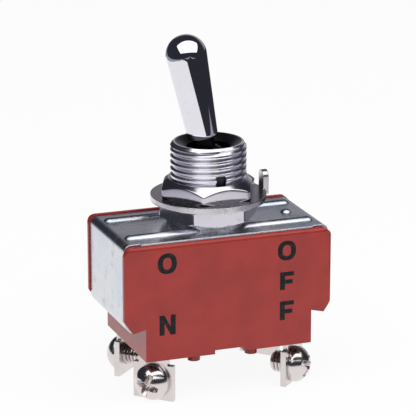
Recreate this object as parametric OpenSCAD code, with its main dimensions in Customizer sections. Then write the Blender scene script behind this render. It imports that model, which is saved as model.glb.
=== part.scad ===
// Bat-handle toggle switch: two poles, on-off, with a threaded panel bushing,
// a moulded case, a folded steel cover and four screw terminals.
// Z = 0 is the panel seat on top of the locking ring, and +Z points out of the panel.
// The lever swings in the XZ plane. It is drawn thrown to -X, which is the closed position.

/* [Panel bushing] */
// Outside diameter of the bushing thread
thread_d = 12; // [11.4:0.1:13]
// Thread pitch
thread_pitch = 1; // [0.5:0.05:1.2]
// Height of the bushing rim above the panel seat
bushing_rise = 8.5; // [7.8:0.1:9.2]
// Chamfer at the bushing rim
rim_chamfer = 0.5; // [0.2:0.1:0.8]
// Diameter of the dished mouth at the rim
mouth_d = 10.2; // [8.5:0.1:10.4]
// Depth of the dished mouth
mouth_depth = 0.9; // [0.5:0.1:1.4]
// Diameter of the round collar that stands on the cover
collar_d = 13.2; // [12.6:0.1:14]
// Height of the collar between the cover and the backing nut
collar_h = 1; // [0.6:0.1:1.6]
// Diameter of the spigot that passes through the cover
spigot_d = 11; // [10.4:0.1:11.6]
// Diameter of the rim clinched under the cover
clinch_d = 13; // [12.2:0.1:14]
// Thickness of the clinched rim
clinch_t = 0.8; // [0.5:0.1:1.2]
// Width of the keyway in the thread
keyway_w = 1.65; // [1.2:0.05:2]
// Depth of the keyway
keyway_depth = 1; // [0.7:0.05:1.1]
// Height of the keyway's closed end above the panel seat
keyway_rise = 4; // [3:0.1:5]

/* [Nuts and locking ring] */
// Size of the hexagon nuts across their flats
nut_flats = 14; // [13.6:0.1:16]
// Thickness of the nut above the panel
mounting_nut_t = 2.7; // [2:0.1:3.2]
// Thickness of the nut behind the panel
backing_nut_t = 2.6; // [2:0.1:3.4]
// Slope of the large chamfer on the mounting nut
nut_chamfer_angle = 37; // [25:1:45]
// Width of the flat land round the thread on top of the mounting nut
nut_land = 0.35; // [0.1:0.05:0.8]
// Width of the small chamfer on the nuts' other corners
corner_chamfer = 0.7; // [0.2:0.1:1.2]
// Slope of that small chamfer
corner_chamfer_angle = 27; // [20:1:40]
// Turn of the mounting nut's corners from +X
mounting_nut_turn = 4.4; // [0:0.1:60]
// Turn of the backing nut's corners from +X
backing_nut_turn = -6.1; // [-30:0.1:30]
// Outside diameter of the locking ring
ring_d = 18.3; // [17.4:0.1:20]
// Thickness of the locking ring
ring_t = 0.9; // [0.6:0.1:1.2]
// Distance from the axis to the outer face of the ring's upturned tab
tab_reach = 9.8; // [9.3:0.1:10.4]
// Width of the tab
tab_w = 2; // [1.4:0.1:3]
// Height of the tab above the panel seat
tab_rise = 2.9; // [2.5:0.1:6]

/* [Lever] */
// Height of the lever's pivot above the panel seat
pivot_rise = 4.7; // [4.2:0.1:5]
// Swing of the lever from one side to the other
throw_angle = 23; // [18:0.5:24]
// Distance from the pivot to the tip of the bat
lever_reach = 21.4; // [17:0.1:26]
// Diameter of the bat's round tip
bat_tip_d = 6.4; // [5:0.1:7.5]
// Diameter of the bat's foot
bat_foot_d = 4.8; // [3.9:0.05:5]
// Distance from the pivot to the bat's foot
bat_start = 4.7; // [4.4:0.1:6]
// Diameter of the neck between the bat and the ball
neck_d = 3.4; // [2.6:0.1:3.8]
// Diameter of the pivot ball
ball_d = 6.8; // [6.2:0.1:7]
// Diameter of the stem under the ball
stem_d = 3; // [2.4:0.1:3.4]
// Diameter of the pivot pin
pin_d = 2; // [1.4:0.1:2.4]
// Length of the pivot pin
pin_l = 8.6; // [7.8:0.1:8.8]
// Chamfer at the bat's foot
foot_chamfer = 0.25; // [0.1:0.05:0.5]

/* [Case] */
// Length of the front and back plates
case_l = 34.4; // [33.4:0.1:36]
// Depth of the case from front to back
case_w = 19.1; // [18.6:0.1:22]
// Height of the case from the plates' top edge to its underside
case_h = 19.2; // [18.4:0.1:22]
// Thickness of the front and back plates
plate_t = 1.1; // [1:0.05:1.6]
// Radius of the plates' top corners
plate_corner_r = 1.7; // [1:0.1:3]
// Radius along the plates' outer edges
plate_edge_r = 0.6; // [0.2:0.05:0.8]
// Depth of the front plate's top edge below the back plate's
front_drop = 0.5; // [0.2:0.05:0.6]
// Height of the plates' ears
ear_h = 14.3; // [13.6:0.1:14.8]
// Length of the chamfer under an ear
ear_chamfer_l = 1.3; // [0.6:0.1:1.8]
// Height of the chamfer under an ear
ear_chamfer_h = 1.9; // [1:0.1:3]
// Rise of an ear's underside towards the middle of the case
ear_slant = 0.5; // [0:0.1:1]
// Length of the case below the ears
lower_l = 27.6; // [27.2:0.1:28.4]
// Length of the shallow recess in the middle of the underside
recess_l = 4.8; // [2:0.1:6]
// Depth of that recess
recess_depth = 0.65; // [0.3:0.05:1]
// Thickness of the floor
floor_t = 2.7; // [2:0.1:3.2]
// Thickness of the front and back walls
wall_t = 1.7; // [1.6:0.1:2.4]
// Thickness of the end walls
end_wall_t = 1.5; // [1.2:0.1:1.8]
// Thickness of the barrier between the poles
barrier_t = 1.6; // [1:0.1:2]
// Diameter of the pegs under the case
peg_d = 2; // [1.4:0.1:2.6]
// Height of the pegs
peg_h = 1.6; // [0.8:0.1:2.4]
// Distance between the pegs along the case
peg_pitch_x = 9.6; // [8:0.1:12]
// Distance between the pegs across the case
peg_pitch_y = 12.7; // [8:0.1:14]
// Length of the stops under the contactors' idle arms
stop_l = 2; // [1.4:0.1:2.4]
// Distance of a stop from the end of its idle arm
stop_inset = 0.2; // [0.1:0.05:0.6]

/* [Steel cover] */
// Length of the cover over its end walls
cover_l = 33.9; // [32.6:0.1:34.1]
// Thickness of the sheet
sheet_t = 0.8; // [0.6:0.05:0.9]
// Depth of the cover's flat top below the plates' top edge
cover_drop = 0.2; // [0:0.05:0.5]
// Length of the cover's lip over the front plate
lip_l = 28.6; // [24:0.1:29]
// Reach of that lip over the front plate
lip_reach = 0.4; // [0.2:0.05:0.6]
// Outside radius of the cover's bends
bend_r = 1.2; // [1:0.1:1.8]
// Outside radius of the edge curled under the case
curl_r = 2.4; // [2:0.1:2.8]
// Angle of the curled edge
curl_angle = 60; // [40:5:75]
// Width of the stiffening beads
bead_w = 2; // [1.4:0.1:2.4]
// Height of the stiffening beads
bead_h = 0.55; // [0.2:0.05:0.7]
// Length of the stiffening beads
bead_l = 31.8; // [26:0.1:32]
// Distance between the two beads
bead_pitch = 10; // [9:0.1:11.5]
// Flat margin around the bushing's collar and clinched rim
seat_margin = 0.4; // [0.2:0.1:0.8]
// Diameter of the raised dimple on the cover
dimple_d = 1.9; // [1:0.1:2]
// Distance of the dimple from the bushing's axis
dimple_x = 13.2; // [11:0.1:14]
// Thickness of the fibre insulator under the cover
insulator_t = 0.5; // [0.3:0.1:0.8]

/* [Terminals] */
// Thickness of the terminal strip
strip_t = 0.9; // [0.7:0.05:1.1]
// Distance of a terminal plate's middle from the axis along the case
leg_x = 11.9; // [11.5:0.1:12]
// Distance of a terminal plate's middle from the axis across the case
leg_y = 7.2; // [7:0.1:7.4]
// Width of a terminal plate
terminal_w = 6.8; // [6.4:0.1:7.6]
// Height of a terminal plate
terminal_h = 5.8; // [5.4:0.1:7]
// Width of the neck above a terminal plate
terminal_neck_w = 5; // [3.6:0.1:6]
// Height of that neck
terminal_neck_h = 1.2; // [0.8:0.1:2]
// Width of the tenon that passes through the floor
tenon_w = 3; // [2.2:0.1:3.2]
// Width of the strap that lies on the floor
strap_w = 3.2; // [2.8:0.1:3.6]
// Strip left at the end of a strap beyond its contact
strap_lip = 0.4; // [0.2:0.1:1]
// Diameter of the terminal screws' thread
screw_d = 3.5; // [2.8:0.1:4]
// Length of a terminal screw's shank behind its plate
screw_tail = 2.7; // [1:0.1:3]
// Diameter of the screw heads
screw_head_d = 5.7; // [5:0.1:6.4]
// Height of the screw heads
screw_head_h = 2.7; // [1.6:0.1:3.6]
// Height of the straight rim under a screw head's dome
screw_rim_h = 0.8; // [0.3:0.1:1.4]
// Length of the cross recess
cross_l = 3; // [2:0.1:3.6]
// Width of the cross recess
cross_w = 0.8; // [0.5:0.1:1]
// Depth of the cross recess
cross_depth = 1.2; // [0.8:0.1:1.5]
// Turn of the cross recess from upright
cross_turn = 20; // [0:1:45]

/* [Contacts] */
// Distance of each pole from the middle of the case
pole_y = 3.8; // [3.6:0.1:4]
// Tilt of a contactor to either side
contactor_tilt = 8; // [5:0.5:9]
// Thickness of the contactor strip
contactor_t = 1; // [0.8:0.05:1.2]
// Width of the contactor strip
contactor_w = 4.2; // [3.6:0.1:4.4]
// Length of the contactor's contact arm
contact_arm_l = 8.9; // [8.6:0.1:9.6]
// Length of the contactor's idle arm
idle_arm_l = 6.6; // [6:0.1:7.4]
// Distance of the contacts from the fulcrum
contact_x = 7.2; // [6.6:0.1:7.4]
// Diameter of the silver contacts
contact_d = 3; // [2.4:0.1:3.2]
// Height of the moving contact
moving_contact_h = 0.8; // [0.6:0.05:1]
// Height of the fixed contact
fixed_contact_h = 0.85; // [0.6:0.05:1.1]
// Diameter of the contact rivets' shanks
rivet_d = 1.5; // [1:0.1:1.8]
// Height of the moving rivet's upset head
upset_h = 0.3; // [0.2:0.05:0.5]
// Chamfer around the contacts' faces
contact_edge = 0.15; // [0.05:0.05:0.3]
// Height of the contactor's underside above the fulcrum's centre
contactor_lift = 0.1; // [0.05:0.05:0.2]

/* [Drive] */
// Thickness of the drive block in the direction of the swing
block_t = 4.8; // [4.2:0.1:5.2]
// Diameter of the plungers
plunger_d = 2.4; // [2:0.1:2.6]
// Length of a plunger below the drive block
plunger_out = 2.3; // [1.8:0.1:2.6]
// Length of a plunger inside the drive block
plunger_in = 2.4; // [2:0.1:3]
// Diameter of the spring wire
wire_d = 0.32; // [0.2:0.02:0.4]
// Thickness of the drive block above the springs
spring_wall = 1.4; // [1:0.1:1.8]
// Number of turns in a plunger spring
spring_turns = 5; // [3:1:7]

/* [Clearances] */
// Gap between still pieces that are fitted together
fit = 0.05; // [0.02:0.01:0.08]
// Radial gap between a thread or rivet and its hole
thread_gap = 0.02; // [0.01:0.01:0.04]
// Radial gap between pieces that turn or slide on each other
running = 0.05; // [0.03:0.01:0.08]
// Gap between the pivot ball and the bushing's bore
ball_gap = 0.1; // [0.05:0.01:0.2]
// Room left around the swinging drive block and stem
swing_gap = 0.4; // [0.3:0.05:0.6]
// Gap between plunger and contactor in mid throw
plunger_gap = 0.16; // [0.14:0.01:0.25]
// Gap between the closed contacts
contact_gap = 0.05; // [0.03:0.01:0.1]

/* [Hidden] */
$fn = 64;
eps = 0.01;
// Overshoot of a cutting shape past the face that it cuts
over = 1;
half_throw = throw_angle / 2;

// Levels, from the panel seat down
backing_top = -ring_t;
backing_low = backing_top - backing_nut_t;
cover_top = backing_low - collar_h;
cover_low = cover_top - sheet_t;
insulator_low = cover_low - insulator_t;
clinch_low = cover_low - clinch_t;
case_top = cover_top + cover_drop;
front_top = case_top - front_drop;
case_low = case_top - case_h;
ear_low = case_top - ear_h;
floor_top = case_low + floor_t;
strap_top = floor_top + strip_t;
shoulder_z = case_low - terminal_neck_h;
terminal_low = shoulder_z - terminal_h;
screw_z = shoulder_z - terminal_h / 2;

// Thread: the free stretch stands at the outside diameter, and where a nut is
// screwed on both pieces stand at the pitch diameter, so their flanks share no space
thread_r = thread_d / 2;
pitch_r = thread_r - 0.32476 * thread_pitch;
nut_bore_r = pitch_r + thread_gap;
nut_corner_r = nut_flats / 2 / cos(30);
nut_face_r = nut_corner_r - corner_chamfer;
bore_r = ball_d / 2 + ball_gap;
groove_r = pin_l / 2 + ball_gap;
stem_r = stem_d / 2;
// Widest reach of the swinging stem at the bushing's lower end
relief_r = (pivot_rise - clinch_low) * tan(half_throw) + stem_r / cos(half_throw) + swing_gap;
relief_h = (relief_r - bore_r) / tan(half_throw);

// Contactor: it rocks on the common terminal's rounded upstand
fulcrum_r = strip_t / 2;
fulcrum_z = strap_top + fixed_contact_h + contact_gap + moving_contact_h - contactor_lift;
valley_z = fulcrum_z + (contactor_lift + contactor_t) / cos(contactor_tilt);

// Drive, as distances from the pivot along the lever
tip_reach = pivot_rise - valley_z - plunger_gap;
block_low = tip_reach - plunger_out;
block_high = (pivot_rise - clinch_low + swing_gap + block_t / 2 * sin(half_throw)) / cos(half_throw);
plunger_top = block_low - plunger_in;
bore_top = block_high + spring_wall;
stem_end = block_high + (block_low - block_high) / 2;
plunger_bore_r = plunger_d / 2 + running;

// Case
core_half = cover_l / 2 - sheet_t - fit;
between = case_w - 2 * plate_t;
cover_w = between - 2 * fit;
cavity_y = case_w / 2 - wall_t;
lower_cavity = lower_l / 2 - end_wall_t;
upper_cavity = core_half - end_wall_t;
curl_z = ear_low + ear_slant / 2 + (curl_r - sheet_t - fit);
curl_x = cover_l / 2 - curl_r;
ledge_z = curl_z + end_wall_t;
// The barrier stops below the lowest corner of the swinging drive block
barrier_top = pivot_rise - block_low * cos(half_throw) - block_t / 2 * sin(half_throw) - swing_gap;
stop_x = idle_arm_l - stop_l - stop_inset;
stop_top = fulcrum_z + contactor_lift - contact_gap;

// Cover beads and dimple are caps of these radii
bead_r = (bead_h * bead_h + bead_w * bead_w / 4) / (2 * bead_h);
dimple_r = (bead_h * bead_h + dimple_d * dimple_d / 4) / (2 * bead_h);
seat_r = max(collar_d, clinch_d) / 2 + seat_margin;

// Where the bat's cone meets its round tip
tip_r = bat_tip_d / 2;
foot_r = bat_foot_d / 2;
tip_centre = lever_reach - tip_r;
bat_l = tip_centre - bat_start;
bat_slope = atan2(bat_l, foot_r) - acos(tip_r / sqrt(bat_l * bat_l + foot_r * foot_r));

FRONT = -1;
REAR = 1;
COMMON = -1;
SWITCHED = 1;

// Shared shapes

// Rectangle of half length hx from zb up to zt, with its two top corners rounded
module round_topped(hx, zt, zb, r) {
    translate([-hx, zb]) square([2 * hx, zt - r - zb]);
    translate([-hx + r, zb]) square([2 * (hx - r), zt - zb]);
    for (s = [-1, 1]) translate([s * (hx - r), zt - r]) circle(r);
}

// Stands a 2D outline in XZ and gives it the depth w, centred on Y = 0
module standing(w) {
    rotate([90, 0, 0]) linear_extrude(w, center = true) children();
}

// Places a shape drawn in the lever's own upright frame, with the pivot at its origin
module thrown() {
    translate([0, 0, pivot_rise]) rotate([0, -half_throw, 0]) children();
}

// Mirrors what is drawn in the +X +Y corner to another corner
module corner(end, side) {
    mirror([end < 0 ? 1 : 0, 0, 0]) mirror([0, side < 0 ? 1 : 0, 0]) children();
}

// Frame of a terminal plate: +X is its outward normal, +Y runs along it
module at_leg() {
    translate([leg_x, leg_y, 0]) rotate(45) children();
}

// Hexagon nut of thickness t from z = 0 with a plain bore. A cone takes off the corners
// at each end, and top_r and top_angle give the upper one.
module hex_nut(t, turn, top_r, top_angle) {
    difference() {
        intersection() {
            rotate(turn) cylinder(h = t, r = nut_corner_r, $fn = 6);
            cylinder(h = t, r1 = nut_face_r, r2 = nut_face_r + t / tan(corner_chamfer_angle));
            cylinder(h = t, r1 = top_r + t / tan(top_angle), r2 = top_r);
        }
        translate([0, 0, -over]) cylinder(h = t + 2 * over, r = nut_bore_r);
    }
}

// Case

// Outline of a plate whose top edge lies at the given level
module plate_outline(top) {
    half = case_l / 2;
    elbow_z = ear_low + ear_chamfer_h;
    difference() {
        union() {
            round_topped(half, top, elbow_z, plate_corner_r);
            polygon([
                [-half, elbow_z + eps], [-half, elbow_z], [ear_chamfer_l - half, ear_low],
                [-lower_l / 2, ear_low + ear_slant], [lower_l / 2, ear_low + ear_slant],
                [half - ear_chamfer_l, ear_low], [half, elbow_z], [half, elbow_z + eps]
            ]);
            translate([-lower_l / 2, case_low]) square([lower_l, case_h - plate_corner_r]);
        }
        underside_recess();
    }
}

module underside_recess() {
    translate([-recess_l / 2, case_low - over]) square([recess_l, recess_depth + over]);
}

module core_outline() {
    curl_in = curl_r - sheet_t - fit;
    difference() {
        union() {
            translate([-core_half, curl_z]) square([2 * core_half, insulator_low - curl_z]);
            translate([-curl_x, curl_z - curl_in]) square([2 * curl_x, curl_in + eps]);
            for (s = [-1, 1]) translate([s * curl_x, curl_z]) circle(curl_in);
            translate([-lower_l / 2, case_low]) square([lower_l, insulator_low - case_low]);
        }
        underside_recess();
    }
}

// The two plates, with the long top edges and the upright end edges of their outer faces rounded
module plates() {
    r = plate_edge_r;
    intersection() {
        for (side = [FRONT, REAR]) intersection() {
            top = side == FRONT ? front_top : case_top;
            translate([0, side * (case_w - plate_t) / 2, 0]) standing(plate_t) plate_outline(top);
            rotate([90, 0, 90]) linear_extrude(case_l + 2 * over, center = true)
                round_topped(case_w / 2, top, case_low - over, r);
        }
        translate([0, 0, case_low - over]) linear_extrude(case_h + 2 * over) {
            square([case_l - 2 * r, case_w], center = true);
            square([case_l, case_w - 2 * r], center = true);
            for (x = [-1, 1], y = [-1, 1]) translate([x * (case_l / 2 - r), y * (case_w / 2 - r)]) circle(r);
        }
    }
}

// Seat in the front plate for the cover's lip
module lip_seat() {
    translate([-lip_l / 2 - fit, -cover_w / 2 - lip_reach - fit, cover_low - fit])
        cube([lip_l + 2 * fit, lip_reach + 2 * fit + eps, sheet_t + over]);
}

// Slot for one terminal's tenon and the bay around its strap
module terminal_pocket() {
    at_leg() translate([-strip_t - fit, -tenon_w / 2 - fit, case_low - over])
        cube([strip_t + 2 * fit, tenon_w + 2 * fit, strap_top - case_low + over + fit]);
    translate([0, 0, floor_top]) linear_extrude(strip_t + fit) strap_outline(-fulcrum_r);
}

module case() {
    color([0.62, 0.24, 0.21]) {
        difference() {
            union() {
                plates();
                standing(between + 2 * eps) core_outline();
                for (x = [-1, 1], y = [-1, 1])
                    translate([x * peg_pitch_x / 2, y * peg_pitch_y / 2, case_low - peg_h])
                        cylinder(h = peg_h + floor_t / 2, r = peg_d / 2);
            }
            translate([-lower_cavity, -cavity_y, floor_top])
                cube([2 * lower_cavity, 2 * cavity_y, case_h]);
            translate([-upper_cavity, -cavity_y, ledge_z])
                cube([2 * upper_cavity, 2 * cavity_y, case_h]);
            for (end = [COMMON, SWITCHED], side = [FRONT, REAR])
                corner(end, side) terminal_pocket();
            lip_seat();
        }
        // Barrier between the poles, with a stop for each contactor's idle arm
        translate([-lower_cavity - eps, -barrier_t / 2, floor_top - eps])
            cube([2 * (lower_cavity + eps), barrier_t, barrier_top - floor_top + eps]);
        for (side = [FRONT, REAR]) corner(COMMON, side)
            translate([stop_x, 0, floor_top - eps])
                cube([stop_l, pole_y - strap_w / 2 - fit, stop_top - floor_top + eps]);
    }
}

// Cover, insulator and bushing

module cover_profile() {
    difference() {
        round_topped(cover_l / 2, cover_top, curl_z, bend_r);
        round_topped(cover_l / 2 - sheet_t, cover_low, curl_z - over, bend_r - sheet_t);
    }
    for (s = [0, 1]) mirror([s, 0]) translate([curl_x, curl_z]) intersection() {
        difference() {
            circle(curl_r);
            circle(curl_r - sheet_t);
        }
        polygon([
            [0, eps], [2 * curl_r, eps],
            [2 * curl_r * cos(curl_angle / 2), -2 * curl_r * sin(curl_angle / 2)],
            [2 * curl_r * cos(curl_angle), -2 * curl_r * sin(curl_angle)]
        ]);
    }
}

// Caps pressed up from the sheet: two long round-ended beads that stop short of the
// bushing's flat seat, and one round dimple
module pressed_caps() {
    intersection() {
        union() {
            difference() {
                for (y = [-1, 1]) translate([0, y * bead_pitch / 2, cover_top + bead_h - bead_r]) {
                    rotate([0, 90, 0]) cylinder(h = bead_l - 2 * bead_r, r = bead_r, center = true);
                    for (x = [-1, 1]) translate([x * (bead_l / 2 - bead_r), 0, 0]) sphere(bead_r);
                }
                translate([0, 0, cover_top - over]) cylinder(h = bead_h + 2 * over, r = seat_r);
            }
            translate([dimple_x, 0, cover_top + bead_h - dimple_r]) sphere(dimple_r);
        }
        translate([-cover_l / 2, -cover_w / 2, cover_top - eps]) cube([cover_l, cover_w, bead_h + over]);
    }
}

module steel_cover() {
    color([0.66, 0.69, 0.72]) difference() {
        union() {
            standing(cover_w) cover_profile();
            pressed_caps();
            translate([-lip_l / 2, -cover_w / 2 - lip_reach, cover_low])
                cube([lip_l, lip_reach + eps, sheet_t]);
        }
        translate([0, 0, -sheet_t]) pressed_caps();
        translate([0, 0, cover_low - over]) cylinder(h = sheet_t + 2 * over, r = spigot_d / 2 + fit);
    }
}

module insulator() {
    l = cover_l - 2 * bend_r;
    color([0.32, 0.22, 0.16]) difference() {
        translate([-l / 2, -cover_w / 2, insulator_low]) cube([l, cover_w, insulator_t]);
        translate([0, 0, insulator_low - over]) cylinder(h = insulator_t + 2 * over, r = seat_r);
    }
}

module bushing() {
    color([0.70, 0.69, 0.73]) difference() {
        rotate_extrude() polygon([
            [relief_r, clinch_low], [clinch_d / 2, clinch_low], [clinch_d / 2, cover_low],
            [spigot_d / 2, cover_low], [spigot_d / 2, cover_top],
            [collar_d / 2, cover_top], [collar_d / 2, backing_low],
            [pitch_r, backing_low], [pitch_r, backing_top],
            [thread_r, backing_top], [thread_r, 0],
            [pitch_r, 0], [pitch_r, mounting_nut_t],
            [thread_r, mounting_nut_t], [thread_r, bushing_rise - rim_chamfer],
            [thread_r - rim_chamfer, bushing_rise], [mouth_d / 2, bushing_rise],
            [bore_r, bushing_rise - mouth_depth], [bore_r, clinch_low + relief_h]
        ]);
        translate([-keyway_w / 2, -thread_r - over, backing_low])
            cube([keyway_w, keyway_depth + over, keyway_rise - backing_low]);
        pin_grooves();
    }
}

// Two grooves run up the bore and end in round seats for the pivot pin
module pin_grooves() {
    r = pin_d / 2 + running;
    translate([0, 0, pivot_rise]) rotate([90, 0, 0]) cylinder(h = 2 * groove_r, r = r, center = true);
    translate([-r, -groove_r, clinch_low - over]) cube([2 * r, 2 * groove_r, pivot_rise - clinch_low + over]);
}

// Nuts and locking ring

module backing_nut() {
    color([0.74, 0.72, 0.76]) translate([0, 0, backing_low])
        hex_nut(backing_nut_t, backing_nut_turn, nut_face_r, corner_chamfer_angle);
}

module mounting_nut() {
    color([0.74, 0.72, 0.76])
        hex_nut(mounting_nut_t, mounting_nut_turn, thread_r + nut_land, nut_chamfer_angle);
}

module locking_ring() {
    key_r = thread_r - keyway_depth + fit;
    // the tab's root starts inside the ring
    tab_root = ring_d / 2 - ring_t;
    color([0.76, 0.74, 0.77]) translate([0, 0, -ring_t]) {
        difference() {
            union() {
                cylinder(h = ring_t, r = ring_d / 2);
                translate([tab_root, -tab_w / 2, 0]) cube([tab_reach - tab_root, tab_w, ring_t]);
            }
            difference() {
                translate([0, 0, -over]) cylinder(h = ring_t + 2 * over, r = thread_r + fit);
                // key that holds the ring in the bushing's keyway
                translate([-keyway_w / 2 + fit, -thread_r - over, -2 * over])
                    cube([keyway_w - 2 * fit, thread_r + over - key_r, ring_t + 4 * over]);
            }
        }
        // upturned tab with a round top
        translate([tab_reach - ring_t, 0, 0]) rotate([90, 0, 90]) linear_extrude(ring_t) {
            translate([-tab_w / 2, 0]) square([tab_w, tab_rise + ring_t - tab_w / 2]);
            translate([0, tab_rise + ring_t - tab_w / 2]) circle(tab_w / 2);
        }
    }
}

// Lever and drive

module toggle_lever() {
    join_r = tip_r * cos(bat_slope);
    join_z = tip_centre - tip_r * sin(bat_slope);
    color([0.80, 0.80, 0.84]) thrown() difference() {
        union() {
            rotate_extrude() {
                polygon([
                    [0, bat_start], [foot_r - foot_chamfer, bat_start], [foot_r, bat_start + foot_chamfer],
                    [join_r, join_z], [0, join_z]
                ]);
                intersection() {
                    translate([0, tip_centre]) circle(tip_r);
                    translate([0, join_z - eps]) square([tip_r, 2 * tip_r]);
                }
            }
            cylinder(h = bat_start + eps, r = neck_d / 2);
            sphere(ball_d / 2);
            translate([0, 0, -stem_end]) cylinder(h = stem_end, r = stem_r);
        }
        rotate([90, 0, 0]) cylinder(h = ball_d + over, r = pin_d / 2 + thread_gap, center = true);
    }
}

module pivot_pin() {
    color([0.55, 0.56, 0.58]) translate([0, 0, pivot_rise])
        rotate([90, 0, 0]) cylinder(h = pin_l, r = pin_d / 2, center = true);
}

module drive_block() {
    color([0.12, 0.11, 0.11]) thrown() difference() {
        translate([0, 0, -block_low]) linear_extrude(block_low - block_high) {
            square([block_t, 2 * pole_y], center = true);
            for (side = [FRONT, REAR]) translate([0, side * pole_y]) circle(block_t / 2);
        }
        translate([0, 0, -stem_end - fit]) cylinder(h = stem_end, r = stem_r + thread_gap);
        for (side = [FRONT, REAR]) translate([0, side * pole_y, -block_low - over])
            cylinder(h = block_low - bore_top + over, r = plunger_bore_r);
    }
}

module plunger(side) {
    r = plunger_d / 2;
    color([0.90, 0.88, 0.80]) thrown() translate([0, side * pole_y, 0]) {
        translate([0, 0, r - tip_reach]) sphere(r);
        translate([0, 0, r - tip_reach]) cylinder(h = tip_reach - r - plunger_top, r = r);
    }
}

// Coil spring as a round wire carried along a helix, from z = 0 to z = height
module coil_spring(height, coil_r, wire_r, turns) {
    per_turn = 16;
    sides = 6;
    steps = turns * per_turn;
    rise = height - 2 * wire_r;
    points = [
        for (i = [0 : steps], j = [0 : sides - 1])
            let (a = 360 * i / per_turn, b = 360 * j / sides, r = coil_r + wire_r * cos(b))
                [r * cos(a), r * sin(a), wire_r + rise * i / steps + wire_r * sin(b)]
    ];
    skin = [
        for (i = [0 : steps - 1], j = [0 : sides - 1])
            let (k = (j + 1) % sides)
                [i * sides + j, i * sides + k, (i + 1) * sides + k, (i + 1) * sides + j]
    ];
    first = [for (j = [sides - 1 : -1 : 0]) j];
    last = [for (j = [0 : sides - 1]) steps * sides + j];
    polyhedron(points, concat(skin, [first, last]), convexity = 8);
}

module plunger_spring(side) {
    wire_r = wire_d / 2;
    color([0.62, 0.63, 0.65]) thrown() translate([0, side * pole_y, -plunger_top + fit])
        coil_spring(plunger_top - bore_top - 2 * fit, plunger_bore_r - wire_r - fit, wire_r, spring_turns);
}

// Contactors and contacts, drawn in the closed position

// Frame with its origin on a pole's fulcrum
module at_fulcrum(side) {
    translate([0, side * pole_y, fulcrum_z]) children();
}

module contactor(side) {
    color([0.72, 0.45, 0.25]) at_fulcrum(side) difference() {
        standing(contactor_w) {
            translate([0, contactor_lift]) square([contact_arm_l, contactor_t]);
            rotate(-2 * contactor_tilt) translate([-idle_arm_l, contactor_lift])
                square([idle_arm_l, contactor_t]);
        }
        rotate([90, 0, 0]) cylinder(h = contactor_w + over, r = fulcrum_r + running, center = true);
        translate([contact_x, 0, 0]) cylinder(h = 2 * contactor_t, r = rivet_d / 2 + thread_gap);
    }
}

module moving_contact(side) {
    head_r = contact_d / 2;
    edge = contact_edge;
    color([0.86, 0.86, 0.84]) at_fulcrum(side) translate([contact_x, 0, contactor_lift]) {
        rotate_extrude() polygon([
            [0, -moving_contact_h], [head_r - edge, -moving_contact_h],
            [head_r, edge - moving_contact_h], [head_r, 0], [rivet_d / 2, 0],
            [rivet_d / 2, contactor_t], [rivet_d / 2 + upset_h, contactor_t],
            [rivet_d / 2, contactor_t + upset_h], [0, contactor_t + upset_h]
        ]);
    }
}

module fixed_contact(side) {
    head_r = contact_d / 2;
    edge = contact_edge;
    color([0.86, 0.86, 0.84]) translate([contact_x, side * pole_y, strap_top]) {
        rotate_extrude() polygon([
            [0, -strip_t], [rivet_d / 2, -strip_t], [rivet_d / 2, 0], [head_r, 0],
            [head_r, fixed_contact_h - edge], [head_r - edge, fixed_contact_h], [0, fixed_contact_h]
        ]);
    }
}

// Terminals

// Plan of the floor strap in the +X +Y corner, from x0 to the bend at the leg
module strap_outline(x0) {
    y_in = pole_y - strap_w / 2;
    y_out = pole_y + strap_w / 2;
    reach = tenon_w / 2 * cos(45);
    near = [leg_x + reach, leg_y - reach];
    far = [leg_x - reach, leg_y + reach];
    polygon([
        [x0, y_in], [near[0] - (near[1] - y_in), y_in], near, far,
        [far[0] - (far[1] - y_out), y_out], [x0, y_out]
    ]);
}

// Leg bent down from the strap: tenon, neck and screw plate in one strip
module terminal_leg() {
    at_leg() difference() {
        translate([-strip_t, 0, 0]) rotate([90, 0, 90]) linear_extrude(strip_t) {
            translate([-tenon_w / 2, case_low - eps]) square([tenon_w, strap_top - case_low + eps]);
            translate([-terminal_neck_w / 2, shoulder_z - eps])
                square([terminal_neck_w, terminal_neck_h + eps]);
            translate([-terminal_w / 2, terminal_low]) square([terminal_w, terminal_h]);
        }
        translate([-strip_t - over, 0, screw_z]) rotate([0, 90, 0])
            cylinder(h = strip_t + 2 * over, r = screw_d / 2 + thread_gap);
    }
}

module common_terminal(side) {
    color([0.78, 0.73, 0.72]) corner(COMMON, side) {
        translate([0, 0, floor_top]) linear_extrude(strip_t) strap_outline(-fulcrum_r);
        terminal_leg();
        // upstand with a rounded edge on which the contactor rocks
        translate([0, pole_y, 0]) standing(strap_w) {
            translate([-fulcrum_r, floor_top]) square([strip_t, fulcrum_z - floor_top]);
            translate([0, fulcrum_z]) circle(fulcrum_r);
        }
    }
}

module switched_terminal(side) {
    color([0.78, 0.73, 0.72]) corner(SWITCHED, side) {
        translate([0, 0, floor_top]) linear_extrude(strip_t) difference() {
            strap_outline(contact_x - contact_d / 2 - strap_lip);
            translate([contact_x, pole_y]) circle(rivet_d / 2 + thread_gap);
        }
        terminal_leg();
    }
}

// Pan-head screw along +X, with its head's seat at x = 0
module terminal_screw() {
    head_r = screw_head_d / 2;
    dome_h = screw_head_h - screw_rim_h;
    dome_r = (dome_h * dome_h + head_r * head_r) / (2 * dome_h);
    rotate([0, 90, 0]) difference() {
        union() {
            translate([0, 0, -strip_t - screw_tail])
                cylinder(h = strip_t + screw_tail + eps, r = screw_d / 2);
            cylinder(h = screw_rim_h, r = head_r);
            intersection() {
                translate([0, 0, screw_head_h - dome_r]) sphere(dome_r);
                cylinder(h = screw_head_h, r = head_r);
            }
        }
        for (quarter = [0, 90]) rotate(cross_turn + quarter)
            translate([-cross_l / 2, -cross_w / 2, screw_head_h - cross_depth])
                cube([cross_l, cross_w, cross_depth + over]);
    }
}

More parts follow.
